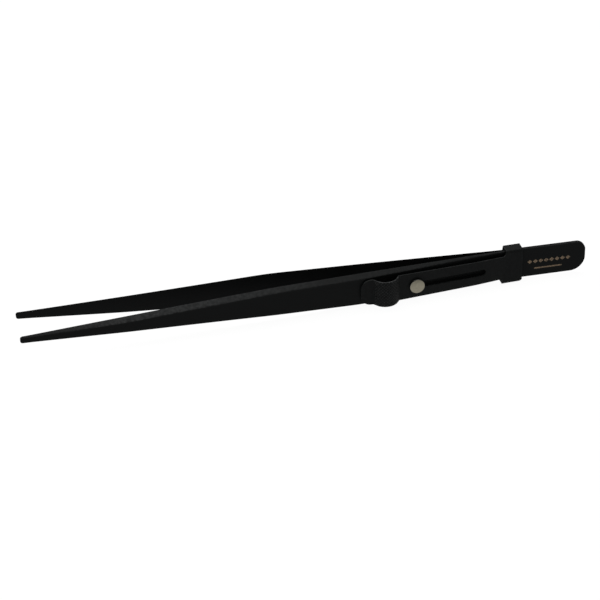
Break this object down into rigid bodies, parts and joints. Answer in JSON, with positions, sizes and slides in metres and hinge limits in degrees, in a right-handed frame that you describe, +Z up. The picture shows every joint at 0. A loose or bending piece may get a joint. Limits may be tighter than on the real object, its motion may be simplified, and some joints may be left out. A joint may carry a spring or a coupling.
{
  "type": "slide-lock tweezers",
  "caption": "Long black precision tweezers with fine points and a knurled sliding lock whose collar closes and holds the sprung arms.",
  "frame": {"origin": "middle of the underside: halfway along the length, on the middle plane between the arms, at the height of the collar's lower fold", "axes": "+X from the points to the heel, +Y from the arm with the lock to the other arm, +Z up along the arms' width"},
  "size_m": [0.165, 0.0148, 0.0111],
  "materials": {
    "coated_steel": "thin matt black coating on ground spring steel",
    "coated_sheet": "thin matt black coating on folded steel sheet, diamond knurl on the arch",
    "rivet_steel": "bare bright steel, set by a punch"
  },
  "bodies": {
    "heel": {"front_heel": "coated_steel", "rear_heel": "coated_steel"},
    "front_arm": {"front_arm": "coated_steel", "guide_rivet": "rivet_steel"},
    "rear_arm": {"rear_arm": "coated_steel"},
    "lock": {"slide_lock": "coated_sheet"}
  },
  "joints": [
    {"name": "front_flex", "type": "hinge", "parent": "heel", "child": "front_arm", "pos_m": [0.058, 0, 0.00555], "axis": [0, 0, -1], "range_deg": [0, 2.63]},
    {"name": "rear_flex", "type": "hinge", "parent": "heel", "child": "rear_arm", "pos_m": [0.058, 0, 0.00555], "axis": [0, 0, 1], "range_deg": [0, 2.63]},
    {"name": "lock_slide", "type": "slide", "parent": "front_arm", "child": "lock", "axis": [-0.9991, -0.043, 0], "range_m": [0, 0.02]}
  ],
  "couplings": [
    {"joint": "front_flex", "follows": "lock_slide", "rad_per_m": 2.2918},
    {"joint": "rear_flex", "follows": "lock_slide", "rad_per_m": 2.2918}
  ]
}
